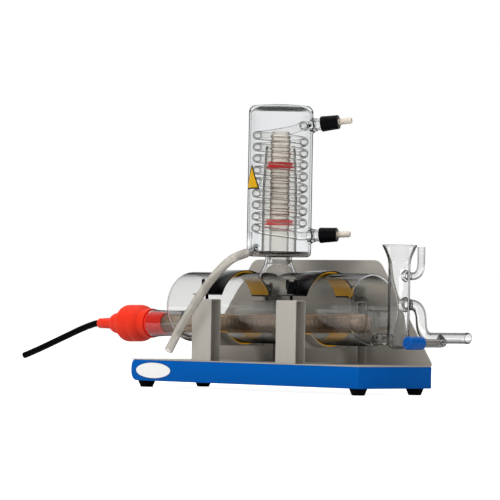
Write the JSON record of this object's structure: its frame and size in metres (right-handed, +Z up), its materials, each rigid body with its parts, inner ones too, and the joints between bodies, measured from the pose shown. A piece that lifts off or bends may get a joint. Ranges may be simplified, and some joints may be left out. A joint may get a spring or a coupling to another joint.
{
  "type": "bench water still with coil condenser",
  "caption": "Horizontal glass boiler on a folded metal stand, with a sheathed heater, an upright jacketed coil condenser, a level feeder and a distillate hose.",
  "frame": {"origin": "on the sole of the front left foot, at bench level, on the axis of the foot", "axes": "+X along the base from the heater end to the feeder end, +Y from the front to the back panel, +Z up"},
  "size_m": [0.8942, 0.2633, 0.4445],
  "materials": {
    "blue_paint": "smooth semi-gloss powder coat",
    "stainless_sheet": "satin ground sheet with soft reflections",
    "badge_white": "printed plate, plain oval, no lettering",
    "amber_liner": "semi-gloss elastomer lining",
    "strap_black": "high gloss black coating",
    "borosilicate_glass": "clear polished glass",
    "coil_glass": "clear polished glass tube",
    "riser_glass": "beaded glass, warm silvery look",
    "silica_sheath": "translucent fused silica",
    "red_silicone": "smooth silicone rubber",
    "label_yellow": "self-adhesive plain triangle, dark edge, no symbol",
    "beige_plastic": "moulded fluoropolymer",
    "blue_plastic": "moulded knob",
    "black_plastic": "moulded thermoplastic",
    "white_plastic": "fluoropolymer washer",
    "hose_silicone": "translucent hose",
    "ceramic_core": "fired ceramic former",
    "resistance_wire": "oxidised wire",
    "red_cap": "matt moulded rubber",
    "cable_black": "rubber sheathed mains cable",
    "rubber_black": "matt rubber",
    "fastener_steel": "plated",
    "stud_black": "blackened steel"
  },
  "bodies": {
    "stand": {"base_tray": "blue_paint", "deck_and_back_panel": "stainless_sheet", "oval_badge": "badge_white", "saddle_left": "stainless_sheet", "saddle_right": "stainless_sheet", "saddle_pad_left": "amber_liner", "saddle_pad_right": "amber_liner", "strap_left": "strap_black", "strap_right": "strap_black", "strap_liner_left": "amber_liner", "strap_liner_right": "amber_liner", "boiler_vessel": "borosilicate_glass", "level_feeder": "borosilicate_glass", "foot_front_left": "rubber_black", "foot_screw_front_left": "fastener_steel", "post_front_left": "stainless_sheet", "strap_stud_front_left": "stud_black", "strap_washer_front_left": "fastener_steel", "foot_front_right": "rubber_black", "foot_screw_front_right": "fastener_steel", "post_front_right": "stainless_sheet", "strap_stud_front_right": "stud_black", "strap_washer_front_right": "fastener_steel", "foot_rear_left": "rubber_black", "foot_screw_rear_left": "fastener_steel", "post_rear_left": "stainless_sheet", "strap_stud_rear_left": "stud_black", "strap_washer_rear_left": "fastener_steel", "foot_rear_right": "rubber_black", "foot_screw_rear_right": "fastener_steel", "post_rear_right": "stainless_sheet", "strap_stud_rear_right": "stud_black", "strap_washer_rear_right": "fastener_steel"},
    "heater_assembly": {"heater_sheath": "silica_sheath", "heater_core": "ceramic_core", "heater_wire": "resistance_wire", "heater_stopper": "red_silicone", "heater_cap": "red_cap", "mains_cable": "cable_black"},
    "condenser": {"condenser_jacket": "borosilicate_glass", "cooling_coil": "coil_glass", "steam_riser": "riser_glass", "riser_sleeve": "borosilicate_glass", "spacer_ring_upper": "red_silicone", "spacer_ring_lower": "red_silicone", "triangle_label": "label_yellow"},
    "upper_connector": {"port_nipple_upper": "beige_plastic", "port_seal_upper": "white_plastic"},
    "upper_cap": {"port_cap_upper": "black_plastic"},
    "lower_connector": {"port_nipple_lower": "beige_plastic", "port_seal_lower": "white_plastic"},
    "lower_cap": {"port_cap_lower": "black_plastic"},
    "hose": {"distillate_hose": "hose_silicone"},
    "drain_spindle": {"drain_spindle": "beige_plastic"},
    "drain_knob": {"drain_knob": "blue_plastic"},
    "wing_nut_front_left": {"wing_nut_front_left": "black_plastic"},
    "wing_nut_front_right": {"wing_nut_front_right": "black_plastic"},
    "wing_nut_rear_left": {"wing_nut_rear_left": "black_plastic"},
    "wing_nut_rear_right": {"wing_nut_rear_right": "black_plastic"}
  },
  "joints": [
    {"name": "heater_withdraw", "type": "slide", "parent": "stand", "child": "heater_assembly", "axis": [-0.9999, 0, -0.0157], "range_m": [0, 0.48]},
    {"name": "condenser_lift", "type": "slide", "parent": "stand", "child": "condenser", "axis": [0, 0, 1], "range_m": [0, 0.06]},
    {"name": "hose_swivel", "type": "hinge", "parent": "condenser", "child": "hose", "pos_m": [0.229, -0.026, 0.2074], "axis": [0, -0.9614, -0.2753], "range_deg": [-8, 8]},
    {"name": "upper_connector_slide", "type": "slide", "parent": "condenser", "child": "upper_connector", "axis": [0.8764, 0.466, 0.1219], "range_m": [0, 0.009]},
    {"name": "upper_cap_turn", "type": "hinge", "parent": "upper_connector", "child": "upper_cap", "pos_m": [0.29911, 0.09928, 0.41611], "axis": [0.8764, 0.466, 0.1219], "range_deg": [0, 1080]},
    {"name": "lower_connector_slide", "type": "slide", "parent": "condenser", "child": "lower_connector", "axis": [0.8817, 0.4688, 0.0523], "range_m": [0, 0.009]},
    {"name": "lower_cap_turn", "type": "hinge", "parent": "lower_connector", "child": "lower_cap", "pos_m": [0.29954, 0.09951, 0.24277], "axis": [0.8817, 0.4688, 0.0523], "range_deg": [0, 1080]},
    {"name": "drain_spindle_slide", "type": "slide", "parent": "stand", "child": "drain_spindle", "axis": [0, -1, 0], "range_m": [0, 0.006]},
    {"name": "drain_knob_turn", "type": "hinge", "parent": "drain_spindle", "child": "drain_knob", "pos_m": [0.516, 0.066, 0.0795], "axis": [0, -1, 0], "range_deg": [0, 720]},
    {"name": "wing_nut_front_left_turn", "type": "hinge", "parent": "stand", "child": "wing_nut_front_left", "pos_m": [0.1395, -0.005, 0.16], "axis": [0, 0, 1], "continuous": true},
    {"name": "wing_nut_front_right_turn", "type": "hinge", "parent": "stand", "child": "wing_nut_front_right", "pos_m": [0.3245, -0.005, 0.16], "axis": [0, 0, 1], "continuous": true},
    {"name": "wing_nut_rear_left_turn", "type": "hinge", "parent": "stand", "child": "wing_nut_rear_left", "pos_m": [0.1395, 0.129, 0.16], "axis": [0, 0, 1], "continuous": true},
    {"name": "wing_nut_rear_right_turn", "type": "hinge", "parent": "stand", "child": "wing_nut_rear_right", "pos_m": [0.3245, 0.129, 0.16], "axis": [0, 0, 1], "continuous": true}
  ],
  "couplings": [
    {"joint": "upper_cap_turn", "follows": "upper_connector_slide", "rad_per_m": 2094.4},
    {"joint": "lower_cap_turn", "follows": "lower_connector_slide", "rad_per_m": 2094.4},
    {"joint": "drain_knob_turn", "follows": "drain_spindle_slide", "rad_per_m": 2094.4}
  ]
}
